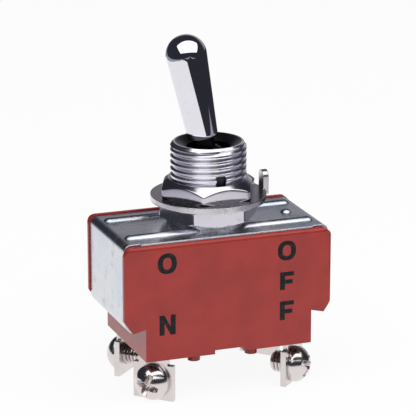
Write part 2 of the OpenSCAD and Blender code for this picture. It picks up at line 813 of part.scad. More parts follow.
module terminal_screws() {
    color([0.80, 0.76, 0.76]) for (end = [COMMON, SWITCHED], side = [FRONT, REAR])
        corner(end, side) at_leg() translate([0, 0, screw_z]) terminal_screw();
}

case();
steel_cover();
insulator();
bushing();
backing_nut();
locking_ring();
mounting_nut();
toggle_lever();
pivot_pin();
drive_block();
plunger(FRONT);  // plunger_front
plunger(REAR);  // plunger_rear
plunger_spring(FRONT);  // plunger_spring_front
plunger_spring(REAR);  // plunger_spring_rear
contactor(FRONT);  // contactor_front
contactor(REAR);  // contactor_rear
moving_contact(FRONT);  // moving_contact_front
moving_contact(REAR);  // moving_contact_rear
common_terminal(FRONT);  // common_terminal_front
common_terminal(REAR);  // common_terminal_rear
switched_terminal(FRONT);  // switched_terminal_front
switched_terminal(REAR);  // switched_terminal_rear
fixed_contact(FRONT);  // fixed_contact_front
fixed_contact(REAR);  // fixed_contact_rear
terminal_screws();
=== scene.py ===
"""Looks of a bat-handle toggle switch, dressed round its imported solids.

Sizes are in millimetres in the part's own frame: the origin lies on the bushing's axis at the panel seat,
+Z leads out of the panel, +X to the OFF end and +Y to the back. Meshes are scaled to metres when made.
"""

import logging
import math
from dataclasses import dataclass
from enum import Enum
from typing import Any, Mapping, Sequence

import bmesh
import bpy
import numpy as np
from mathutils import Euler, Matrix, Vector


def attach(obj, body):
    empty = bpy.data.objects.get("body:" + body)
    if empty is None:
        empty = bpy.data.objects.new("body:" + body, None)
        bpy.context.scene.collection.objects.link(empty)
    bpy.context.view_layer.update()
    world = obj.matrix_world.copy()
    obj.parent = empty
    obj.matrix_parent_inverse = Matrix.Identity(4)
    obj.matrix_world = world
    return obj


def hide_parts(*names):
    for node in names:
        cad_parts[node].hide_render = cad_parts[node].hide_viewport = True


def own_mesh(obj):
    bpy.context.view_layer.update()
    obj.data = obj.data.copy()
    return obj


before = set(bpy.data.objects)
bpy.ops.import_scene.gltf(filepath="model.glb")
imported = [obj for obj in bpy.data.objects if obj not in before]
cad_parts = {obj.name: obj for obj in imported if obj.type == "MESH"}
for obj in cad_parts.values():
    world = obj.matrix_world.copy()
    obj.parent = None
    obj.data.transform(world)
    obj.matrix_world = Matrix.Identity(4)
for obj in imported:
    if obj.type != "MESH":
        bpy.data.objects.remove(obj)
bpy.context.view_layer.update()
LOG = logging.getLogger("toggle_switch")
MM = 0.001
MERGE = 1e-7
FULL_TURN = 2 * math.pi
CREASE = 32.0
RAYS = {"camera": "Is Camera Ray", "glossy": "Is Glossy Ray", "glass": "Is Transmission Ray"}

Piece = bpy.types.Object
Array = np.ndarray
Triple = tuple[float, float, float]
Color = Triple
Sides = tuple[float, float, float, float]
Band = tuple[tuple[float, float], tuple[float, float]]


class Slot(Enum):
    """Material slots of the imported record."""

    CASE = "case_red"
    COVER = "zinc_steel"
    INSULATOR = "fibre_board"
    BUSHING = "nickel_bushing"
    NUT = "nickel_nut"
    RING = "nickel_ring"
    LEVER = "chrome_lever"
    PIN = "hard_steel"
    BLOCK = "moulded_black"
    SCREW = "nickel_screw"
    PLUNGER = "nylon_natural"
    SPRING = "spring_steel"
    CONTACTOR = "copper_strip"
    CONTACT = "silver"
    TERMINAL = "nickel_terminal"


class Body(Enum):
    """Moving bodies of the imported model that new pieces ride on."""

    HOUSING = "housing"
    LEVER = "lever"


class Value:
    """An output socket that takes part in Python arithmetic, each operation adding one Math node."""

    def __init__(self, graph: "Graph", socket: bpy.types.NodeSocket | None) -> None:
        """Keep the tree and the socket; an output node has no socket of its own."""
        self.graph = graph
        self.socket = socket

    def __add__(self, other: "Value | float") -> "Value":
        """Sum of two values."""
        return self.graph.math("ADD", self, other)

    def __sub__(self, other: "Value | float") -> "Value":
        """Difference of two values."""
        return self.graph.math("SUBTRACT", self, other)

    def __rsub__(self, other: float) -> "Value":
        """Difference from a number on the left, as in 1 - mask."""
        return self.graph.math("SUBTRACT", other, self)

    def __mul__(self, other: "Value | float") -> "Value":
        """Product of two values."""
        return self.graph.math("MULTIPLY", self, other)

    __radd__ = __add__
    __rmul__ = __mul__


class Graph:
    """The node tree of a material or of the world."""

    def __init__(self, tree: bpy.types.NodeTree) -> None:
        """Take over a tree and empty it."""
        self.tree = tree
        tree.nodes.clear()

    def node(
        self,
        kind: str,
        settings: Mapping[str, Any] | None = None,
        inputs: Mapping[int | str, Any] | None = None,
        output: int | str = 0,
    ) -> Value:
        """Add one node of any type.

        Args:
            kind: Blender's name of the node type.
            settings: properties of the node, set before its sockets.
            inputs: a number, colour, vector or Value for each named or numbered socket.
            output: the socket that is handed back.

        Returns:
            The chosen output socket as a Value.
        """
        made = self.tree.nodes.new(kind)
        for name, value in (settings or {}).items():
            setattr(made, name, value)
        for name, value in (inputs or {}).items():
            if isinstance(value, Value):
                self.tree.links.new(value.socket, made.inputs[name])
            else:
                made.inputs[name].default_value = value
        return Value(self, made.outputs[output] if made.outputs else None)

    def math(self, operation: str, *terms: Value | float) -> Value:
        """Math node on two terms."""
        return self.node("ShaderNodeMath", {"operation": operation}, dict(enumerate(terms)))

    def place(self) -> Value:
        """Object coordinates, in millimetres."""
        metres = self.node("ShaderNodeTexCoord", output="Object")
        return self.node("ShaderNodeVectorMath", {"operation": "SCALE"}, {0: metres, "Scale": 1 / MM})

    def stretch(self, at: Value, scale: Triple) -> Value:
        """Coordinates times a factor along each axis, so that a grain runs along the smallest one."""
        return self.node("ShaderNodeVectorMath", {"operation": "MULTIPLY"}, {0: at, 1: scale})

    def noise(self, at: Value, scale: float, detail: float = 3.0) -> Value:
        """Soft noise between 0 and 1 with so many waves in a millimetre."""
        return self.node("ShaderNodeTexNoise", {}, {"Vector": at, "Scale": scale, "Detail": detail})

    def ease(self, value: Value, low: float, high: float) -> Value:
        """Smooth step from 0 at low to 1 at high."""
        inputs = {"Value": value, "From Min": low, "From Max": high}
        return self.node("ShaderNodeMapRange", {"interpolation_type": "SMOOTHSTEP"}, inputs)

    def band(self, value: Value, slopes: Band) -> Value:
        """1 between a rising and a falling slope, and 0 beyond them."""
        return self.ease(value, *slopes[0]) * (1 - self.ease(value, *slopes[1]))

    def mix(self, factor: Value | float, low: Value | Color, high: Value | Color) -> Value:
        """Mix of two colours."""
        ends = [end if isinstance(end, Value) else (*end, 1.0) for end in (low, high)]
        return self.node("ShaderNodeMix", {"data_type": "RGBA"}, {0: factor, 6: ends[0], 7: ends[1]}, 2)

    def vector(self, operation: str, first: Value, second: Triple) -> Value:
        """Length of a vector, or its dot product with another, as a number."""
        inputs = {0: first, 1: second}
        return self.node("ShaderNodeVectorMath", {"operation": operation}, inputs, "Value")

    def axis(self, at: Value, name: str) -> Value:
        """One coordinate, X, Y or Z, of a place."""
        return self.node("ShaderNodeSeparateXYZ", {}, {0: at}, name)

    def facing(self) -> Value:
        """How far the surface looks up, from -1 to 1."""
        return self.axis(self.node("ShaderNodeNewGeometry", output="Normal"), "Z")

    def crevice(self, reach: float) -> Value:
        """How far a place is shut in by its own piece, from 0 in the open to 1 in a narrow gap.

        Args:
            reach: how far away, in millimetres, a wall still counts.

        Returns:
            The share of the directions out of the surface that are blocked.
        """
        settings = {"samples": 8, "only_local": True}
        return 1 - self.node("ShaderNodeAmbientOcclusion", settings, {"Distance": reach * MM}, "AO")

    def bump(self, height: Value, depth: float, edge: float) -> Value:
        """Normal of a surface whose edges are softened and whose grain stands up.

        Args:
            height: the grain, between 0 and 1.
            depth: height of the grain in millimetres.
            edge: radius of the softened edges in millimetres, or 0 for a mesh with round edges.

        Returns:
            The normal for a shader.
        """
        inputs = {"Height": height, "Strength": 1.0, "Distance": depth * MM}
        if edge:
            inputs["Normal"] = self.node("ShaderNodeBevel", {"samples": 6}, {"Radius": edge * MM})
        return self.node("ShaderNodeBump", {}, inputs)


def blank(name: str) -> tuple[bpy.types.Material, Graph]:
    """Make a material whose node tree is still empty.

    Args:
        name: name of the material.

    Returns:
        The material and its tree.
    """
    made = bpy.data.materials.new(name)
    made.use_nodes = True
    return made, Graph(made.node_tree)


@dataclass(frozen=True)
class Finish:
    """What every surface finish has.

    Attributes:
        name: name of the material.
        color: base colour, linear.
        roughness: mean roughness.
        edge: radius in millimetres to which the shading softens a solid's sharp edges.
    """

    name: str
    color: Color
    roughness: float
    edge: float = 0.0

    def material(self) -> bpy.types.Material:
        """Make the material: the finish wires the sockets that vary, and one shader takes them all."""
        made, graph = blank(self.name)
        shader = graph.node("ShaderNodeBsdfPrincipled", {}, self.wire(graph, graph.place()))
        graph.node("ShaderNodeOutputMaterial", {}, {"Surface": shader})
        made.diffuse_color = (*self.color, 1.0)
        return made

    def wire(self, graph: Graph, at: Value) -> dict[str, Any]:
        """Values and links of the shader's sockets.

        Args:
            graph: the material's tree.
            at: place on the piece in millimetres.

        Returns:
            Socket names with what goes into them.
        """
        raise NotImplementedError

    def toned(self, share: float) -> Color:
        """The finish's colour, made lighter or darker by a factor."""
        return tuple(min(1.0, part * share) for part in self.color)


@dataclass(frozen=True)
class Moulding(Finish):
    """Moulded plastic: faint clouds in the colour, fine specks and an even, slightly wavy skin.

    Attributes:
        cloud: how far the clouds go from the mean colour.
        speck: how strong the specks are.
        skin: height of the skin's waves in millimetres.
        under: how far the faces that look down are darkened with painted shade, from 0 to 1.
    """

    cloud: float = 0.12
    speck: float = 0.06
    skin: float = 0.004
    under: float = 0.0

    def wire(self, graph: Graph, at: Value) -> dict[str, Any]:
        """Clouds and specks vary the colour and the gloss, and the skin is a shallow bump."""
        cloud = graph.noise(at, 0.22, 4.0)
        speck = graph.noise(at, 4.5, 2.0)
        tone = graph.ease(cloud, 0.25, 0.75)
        base = graph.mix(tone, self.toned(1 - self.cloud), self.toned(1 + self.cloud))
        dust = graph.ease(speck, 0.62, 0.78) * self.speck
        color = graph.mix(dust, base, (0.62, 0.52, 0.5))
        if self.under:
            # Painted shade: faces that look down are darkened towards a tenth of the colour.
            underside_shade = 1 - graph.ease(graph.facing(), -0.9, -0.4)
            color = graph.mix(underside_shade * self.under, color, self.toned(0.1))
        skin = graph.noise(at, 1.6, 2.0)
        return {
            "Base Color": color,
            "Roughness": self.roughness + 0.1 * (cloud - 0.5) + 0.1 * (speck - 0.5),
            "Normal": graph.bump(skin, self.skin, self.edge),
        }


@dataclass(frozen=True)
class ZincSheet(Finish):
    """Zinc-plated sheet: rolling streaks along X, faint blue and green tints, and dull smudges."""

    blue: Color = (0.6, 0.66, 0.75)
    green: Color = (0.65, 0.69, 0.65)
    smudge: Color = (0.4, 0.41, 0.43)
    streak: float = 0.0025

    def wire(self, graph: Graph, at: Value) -> dict[str, Any]:
        """Two slow noises mix in the tints, a stretched one draws the streaks, and a third the smudges."""
        tint = graph.noise(at, 0.16, 3.0)
        other = graph.noise(graph.stretch(at, (0.7, 1.3, 1.1)), 0.23, 3.0)
        streak = graph.noise(graph.stretch(at, (0.25, 6.0, 6.0)), 1.0, 3.0)
        smudge = graph.ease(graph.noise(at, 0.5, 5.0), 0.54, 0.72)
        color = graph.mix(graph.ease(tint, 0.42, 0.7), self.color, self.blue)
        color = graph.mix(graph.ease(other, 0.5, 0.75) * 0.7, color, self.green)
        color = graph.mix(smudge * 0.12, color, self.smudge)
        return {
            "Base Color": color,
            "Metallic": 1.0,
            "Roughness": self.roughness + 0.14 * (streak - 0.5) + 0.12 * smudge,
            "Normal": graph.bump(streak, self.streak, self.edge),
        }


@dataclass(frozen=True)
class Plating(Finish):
    """Plated or bare metal: a tint that drifts over the surface, tool marks and dull handling marks.

    Attributes:
        tint: the colour towards which the plate drifts.
        grain: how densely tool marks lie along each axis, in waves to the millimetre.
        mark: depth of the tool marks in millimetres.
        dull: how much rougher the handling marks are.
        crevice_shade: how dark the painted shade in the crevices is, from 0 to 1.
        top: how far the faces that look up are darkened as a painted dark reflection, from 0 to 1.
    """

    tint: Color = (0.66, 0.6, 0.6)
    grain: Triple = (1.2, 1.2, 14.0)
    mark: float = 0.001
    dull: float = 0.1
    crevice_shade: float = 0.0
    top: float = 0.0

    def wire(self, graph: Graph, at: Value) -> dict[str, Any]:
        """A slow noise drifts the tint, a stretched one draws tool marks, and a sharp one the dull spots."""
        drift = graph.ease(graph.noise(at, 0.3, 3.0), 0.35, 0.7)
        tool = graph.noise(graph.stretch(at, self.grain), 1.0, 2.0)
        spot = graph.ease(graph.noise(at, 0.9, 5.0), 0.56, 0.74)
        color = graph.mix(drift * 0.6, self.color, self.tint)
        color = graph.mix(spot * 0.2, color, self.toned(0.72))
        roughness = self.roughness + self.dull * spot + 0.5 * self.dull * (tool - 0.5)
        if self.crevice_shade:
            # Painted shade: places shut in by the piece itself are darkened and dulled.
            crevice_shade_mask = graph.ease(graph.crevice(1.0), 0.45, 0.8)
            color = graph.mix(crevice_shade_mask * self.crevice_shade, color, (0.03, 0.025, 0.025))
            roughness = roughness + 0.2 * crevice_shade_mask
        if self.top:
            # Painted dark reflection: faces that look up are darkened.
            painted_dark_reflection = graph.ease(graph.facing(), 0.6, 0.95)
            color = graph.mix(painted_dark_reflection * self.top, color, self.toned(0.3))
        return {
            "Base Color": color,
            "Metallic": 1.0,
            "Roughness": roughness,
            "Normal": graph.bump(tool, self.mark, self.edge),
        }


@dataclass(frozen=True)
class BoreShadedPlating(Plating):
    """Plating of a turned piece, with painted shade down its bore.

    Attributes:
        bore_r: radius about the Z axis inside which the metal is darkened and dulled as painted shade.
        bore_shade: colour of that painted shade.
        blend: half the width of the change between them.
    """

    bore_r: float = 5.25
    bore_shade: Color = (0.07, 0.066, 0.075)
    blend: float = 0.08

    def wire(self, graph: Graph, at: Value) -> dict[str, Any]:
        """The distance from the axis tells the bore from the outside."""
        sockets = super().wire(graph, at)
        # Painted shade: inside the bore radius the colour goes dark and the gloss dull.
        radius = graph.vector("LENGTH", graph.stretch(at, (1.0, 1.0, 0.0)), (0.0, 0.0, 0.0))
        outside = graph.ease(radius, self.bore_r - self.blend, self.bore_r + self.blend)
        sockets["Base Color"] = graph.mix(outside, self.bore_shade, sockets["Base Color"])
        sockets["Roughness"] = sockets["Roughness"] + 0.15 * (1 - outside)
        return sockets


@dataclass(frozen=True)
class BatPlating(Plating):
    """Plating of the lever, bright on the bat and darkened as painted shade below its foot, where it sits in
    the bushing's mouth.

    Attributes:
        along: the lever's axis as it lies in the frame.
        pivot: the point of the axis from which the bat's foot is measured.
        foot: how far up the axis the bright plating starts.
        steel: colour of the painted shade below it.
        blend: half the width of the change between them.
    """

    along: Triple = (-0.199368, 0.0, 0.979925)
    pivot: Triple = (0.0, 0.0, 4.7)
    foot: float = 4.72
    steel: Color = (0.035, 0.033, 0.04)
    blend: float = 0.03

    def wire(self, graph: Graph, at: Value) -> dict[str, Any]:
        """The height along the lever's axis tells the bat from the neck."""
        sockets = super().wire(graph, at)
        start = sum(a * b for a, b in zip(self.along, self.pivot)) + self.foot
        height = graph.vector("DOT_PRODUCT", at, self.along)
        bright = graph.ease(height, start - self.blend, start + self.blend)
        # Painted shade: below the bat's foot the lever is darkened and dulled.
        sockets["Base Color"] = graph.mix(bright, self.steel, sockets["Base Color"])
        sockets["Roughness"] = sockets["Roughness"] + 0.22 * (1 - bright)
        return sockets


@dataclass(frozen=True)
class Ink(Finish):
    """Stamped ink: nearly black, with thin places where the moulding shows through a little."""

    thin: Color = (0.05, 0.035, 0.035)

    def wire(self, graph: Graph, at: Value) -> dict[str, Any]:
        """A fine noise thins the ink and breaks its gloss."""
        worn = graph.ease(graph.noise(at, 2.2, 4.0), 0.5, 0.75)
        return {
            "Base Color": graph.mix(worn, self.color, self.thin),
            "Roughness": self.roughness + 0.15 * worn,
            "Specular IOR Level": 0.2,
        }


EVEN = (3.0, 3.0, 3.0)
# Painted light in these finishes: painted shade on the case's downward faces, in the crevices of the bushing
# and screws, down the bushing's bore and on the lever below its foot, and a painted dark reflection on the
# ring's upward faces.
FINISHES: dict[Slot, Finish] = {
    Slot.CASE: Moulding("moulded_red", (0.31, 0.02, 0.0148), 0.24, 0.12, under=0.8),
    Slot.COVER: ZincSheet("zinc_sheet", (0.7, 0.71, 0.75), 0.27, 0.3),
    Slot.INSULATOR: Moulding("brown_fibre", (0.08, 0.04, 0.022), 0.75, 0.0, 0.25, 0.2, 0.02),
    Slot.BUSHING: BoreShadedPlating(
        "nickel_on_turned_brass", (0.86, 0.85, 0.91), 0.18, 0.0, (0.82, 0.8, 0.86), dull=0.05, crevice_shade=0.5
    ),
    Slot.NUT: Plating("nickel_on_nut", (0.66, 0.64, 0.71), 0.13, 0.0, (0.64, 0.61, 0.67), EVEN, dull=0.05),
    Slot.RING: Plating(
        "nickel_on_ring", (0.74, 0.71, 0.75), 0.25, 0.2, (0.7, 0.66, 0.7), EVEN, dull=0.08, top=0.7
    ),
    Slot.LEVER: BatPlating(
        "bright_chrome", (0.76, 0.745, 0.81), 0.035, 0.0, (0.74, 0.74, 0.78), (1.0, 1.0, 2.0), 0.0002, 0.03
    ),
    Slot.PIN: Plating("ground_steel", (0.35, 0.36, 0.38), 0.25, 0.05),
    Slot.BLOCK: Moulding("black_moulding", (0.02, 0.018, 0.018), 0.45, 0.1),
    Slot.SCREW: Plating("nickel_on_screw", (0.72, 0.67, 0.67), 0.17, 0.0, (0.7, 0.6, 0.56), EVEN, crevice_shade=0.9),
    Slot.PLUNGER: Moulding("natural_nylon", (0.78, 0.74, 0.62), 0.5, 0.1, 0.05),
    Slot.SPRING: Plating("drawn_wire", (0.4, 0.41, 0.43), 0.25, 0.0),
    Slot.CONTACTOR: Plating("copper_alloy", (0.55, 0.25, 0.1), 0.3, 0.06, (0.4, 0.16, 0.07)),
    Slot.CONTACT: Plating("silver_alloy", (0.75, 0.75, 0.72), 0.25, 0.05, (0.55, 0.53, 0.5)),
    Slot.TERMINAL: Plating(
        "nickel_on_strip", (0.7, 0.66, 0.66), 0.2, 0.1, (0.68, 0.58, 0.56), (8.0, 8.0, 0.6)
    ),
}
INK = Ink("stamped_ink", (0.008, 0.009, 0.011), 0.4)
THREAD_PHASES = (0.0, 0.3, 0.6, 0.7, 1.0)
THREAD_DEPTHS = (0.0, 0.0, 1.0, 1.0, 0.0)


def quads(rows: int, columns: int) -> Array:
    """Corner numbers of the quads between neighbouring rows and columns of a grid.

    Args:
        rows: number of rows of points.
        columns: number of points in a row.

    Returns:
        One row of four point numbers for each quad.
    """
    corner = np.arange(rows * columns).reshape(rows, columns)
    sides = (corner[:-1, :-1], corner[:-1, 1:], corner[1:, 1:], corner[1:, :-1])
    return np.stack(sides, -1).reshape(-1, 4)


def around(columns: int) -> Array:
    """Angles of a full turn, the last one closing on the first."""
    return np.linspace(0.0, FULL_TURN, columns + 1)


def carried(radius: Array, height: Array, angle: Array) -> Array:
    """Carry a profile round the Z axis: x = r cos a, y = r sin a, z = h.

    Args:
        radius: radii of shape (rows, 1) or (rows, columns).
        height: heights of the same shape.
        angle: angles of the columns.

    Returns:
        Points of shape (rows, columns, 3).
    """
    radius, height, angle = np.broadcast_arrays(radius, height, angle)
    return np.stack([radius * np.cos(angle), radius * np.sin(angle), height], -1)


def softened(corners: Array, reach: Sequence[float], steps: int = 5) -> Array:
    """Round the corners of a profile.

    A corner C becomes the parabola (1-t)^2 A + 2t(1-t) C + t^2 B, where A and B lie the corner's reach away
    from it along its two sides, or half of a side that is shorter. The ends of the profile stay.

    Args:
        corners: points of shape (count, columns, 2).
        reach: how far along its sides each corner is rounded, in millimetres.
        steps: points that replace one corner.

    Returns:
        Points of shape (count * steps, columns, 2).
    """
    before = np.concatenate([corners[:1], corners[:-1]]) - corners
    after = np.concatenate([corners[1:], corners[-1:]]) - corners
    limit = np.asarray(reach, float)[:, None, None]

    def towards(side: Array) -> Array:
        """Step from a corner along one of its sides."""
        length = np.linalg.norm(side, axis=-1, keepdims=True)
        return side * np.minimum(limit / np.maximum(length, 1e-9), 0.5)

    t = np.linspace(0.0, 1.0, steps)[None, :, None, None]
    start = (corners + towards(before))[:, None]
    end = (corners + towards(after))[:, None]
    curve = (1 - t) ** 2 * start + 2 * t * (1 - t) * corners[:, None] + t**2 * end
    return curve.reshape(-1, *corners.shape[1:])


def arc(centre: float, radius: float, start: float, end: float, steps: int) -> Array:
    """Profile points (r, z) on a circle about a point of the axis, between two elevations in degrees."""
    turn = np.radians(np.linspace(start, end, steps))
    return np.stack([radius * np.cos(turn), centre + radius * np.sin(turn)], -1)


def thread_wave(phase: Array) -> Array:
    """Depth of a thread over its pitch: flat crest, straight flank, flat root, straight flank."""
    return np.interp(np.mod(phase, 1.0), THREAD_PHASES, THREAD_DEPTHS)


def thread_rows(low: float, high: float, pitch: float, angle: Array) -> Array:
    """Heights of the rows that follow a screw thread's edges, from its top down.

    Each row climbs one pitch in a turn, z = pitch (k + a / 2 pi), and is cut off at the thread's two ends.

    Args:
        low: lower end of the thread.
        high: upper end of the thread.
        pitch: its pitch.
        angle: angles of the columns.

    Returns:
        Heights of shape (rows, columns).
    """
    turns = np.arange(math.floor(low / pitch) - 1, math.ceil(high / pitch) + 1)
    edges = np.sort((turns[:, None] + np.array(THREAD_PHASES[:-1])).ravel())[::-1]
    return np.clip(pitch * (edges[:, None] + angle / FULL_TURN), low, high)


def surface(name: str, grids: Sequence[Array], crease: float = CREASE) -> Piece:
    """Make one closed mesh from point grids.

    Args:
        name: name of the piece.
        grids: points in millimetres, each of shape (rows, columns, 3).
        crease: edges that turn by more degrees than this stay sharp.

    Returns:
        The piece, at the origin, with its doubles merged and its faces outwards.
    """
    sizes = [grid.shape[0] * grid.shape[1] for grid in grids]
    starts = np.concatenate([[0], np.cumsum(sizes)[:-1]])
    faces = [quads(*grid.shape[:2]) + start for grid, start in zip(grids, starts)]
    points = np.concatenate([grid.reshape(-1, 3) for grid in grids]) * MM
    return meshed(name, points, np.concatenate(faces).tolist(), crease)


def meshed(name: str, points: Array, faces: Sequence[Sequence[int]], crease: float) -> Piece:
    """Put points and faces into a new piece, merge its doubles and point its faces outwards.

    Args:
        name: name of the piece.
        points: points in metres.
        faces: point numbers of each face.
        crease: edges that turn by more degrees than this stay sharp.

    Returns:
        The piece.
    """
    mesh = bpy.data.meshes.new(name)
    mesh.from_pydata(points.tolist(), [], faces)
    work = bmesh.new()
    work.from_mesh(mesh)
    bmesh.ops.remove_doubles(work, verts=work.verts, dist=MERGE)
    bmesh.ops.dissolve_degenerate(work, edges=work.edges, dist=MERGE)
    bmesh.ops.recalc_face_normals(work, faces=work.faces)
    work.to_mesh(mesh)
    work.free()
    smoothed(mesh, crease)
    piece = bpy.data.objects.new(name, mesh)
    bpy.context.scene.collection.objects.link(piece)
    return piece


def smoothed(mesh: bpy.types.Mesh, crease: float) -> None:
    """Shade a mesh smooth, apart from its sharp edges."""
    mesh.shade_smooth()
    mesh.set_sharp_from_angle(angle=math.radians(crease))


def prisms(name: str, outlines: Sequence[Array], low: float, high: float) -> Piece:
    """Stand plane outlines up along Y, from low to high, as closed prisms of one piece.

    Args:
        name: name of the piece.
        outlines: points (x, z) in millimetres of each outline, in order round it.
        low: Y of one face.
        high: Y of the other.

    Returns:
        The piece.
    """
    points: list[Array] = []
    faces: list[list[int]] = []
    count = 0
    for outline in outlines:
        size = len(outline)
        ring = np.arange(size)
        following = np.roll(ring, -1)
        for level in (low, high):
            points.append(np.insert(outline, 1, level, axis=1))
        sides = np.stack([ring, following, following + size, ring + size], -1) + count
        faces += sides.tolist()
        faces += [(ring + count).tolist(), (ring + size + count).tolist()]
        count += 2 * size
    return meshed(name, np.concatenate(points) * MM, faces, 30.0)


def cut(piece: Piece, cutters: Sequence[Piece]) -> None:
    """Cut closed shapes out of a piece, apply the result to its mesh and delete the shapes.

    Args:
        piece: the piece that loses the material.
        cutters: closed shapes, in the same frame.
    """
    for cutter in cutters:
        step = piece.modifiers.new(cutter.name, "BOOLEAN")
        step.operation = "DIFFERENCE"
        step.solver = "EXACT"
        step.object = cutter
    bpy.context.view_layer.update()
    seen = piece.evaluated_get(bpy.context.evaluated_depsgraph_get())
    result = bpy.data.meshes.new_from_object(seen)
    piece.modifiers.clear()
    piece.data = result
    smoothed(result, CREASE)
    for cutter in cutters:
        bpy.data.objects.remove(cutter)


def block(name: str, low: Sequence[float], high: Sequence[float]) -> Piece:
    """A box between two corners, as a square outline carried along Y."""
    outline = np.array([[low[0], low[2]], [high[0], low[2]], [high[0], high[2]], [low[0], high[2]]])
    return prisms(name, [outline], low[1], high[1])


def tilted(points: Array, degrees: float, pivot: Sequence[float]) -> Array:
    """Turn points about an axis through a pivot that runs along Y.

    x' = x cos t + z sin t and z' = z cos t - x sin t, measured from the pivot.

    Args:
        points: points measured from the pivot.
        degrees: how far they turn.
        pivot: place of the pivot.

    Returns:
        The turned points, in the frame.
    """
    cosine = math.cos(math.radians(degrees))
    sine = math.sin(math.radians(degrees))
    turn = np.array([[cosine, 0, sine], [0, 1, 0], [-sine, 0, cosine]])
    return points @ turn.T + np.asarray(pivot)


@dataclass
class SubAssembly:
    """A group of pieces that is built and dressed together.

    Attributes:
        materials: one material for each slot, shared by all groups.
    """

    materials: dict[Slot, bpy.types.Material]

    def dress_node(self, node: str, slot: Slot) -> None:
        """Give a solid that stays the material of its slot.

        Args:
            node: name of the solid.
            slot: its slot.
        """
        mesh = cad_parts[node].data
        mesh.materials.clear()
        mesh.materials.append(self.materials[slot])
        LOG.info("solid %s: %s", node, slot.value)

    def add(self, piece: Piece, body: Body, slot: Slot, *nodes: str) -> None:
        """Finish a new piece.

        Args:
            piece: the piece.
            body: the body that it rides on.
            slot: its slot, whose material it gets unless it has one.
            nodes: the solids that it stands for.
        """
        if not piece.data.materials:
            piece.data.materials.append(self.materials[slot])
        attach(piece, body.value)
        if nodes:
            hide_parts(*nodes)
        LOG.info("piece %s: %d faces", piece.name, len(piece.data.polygons))


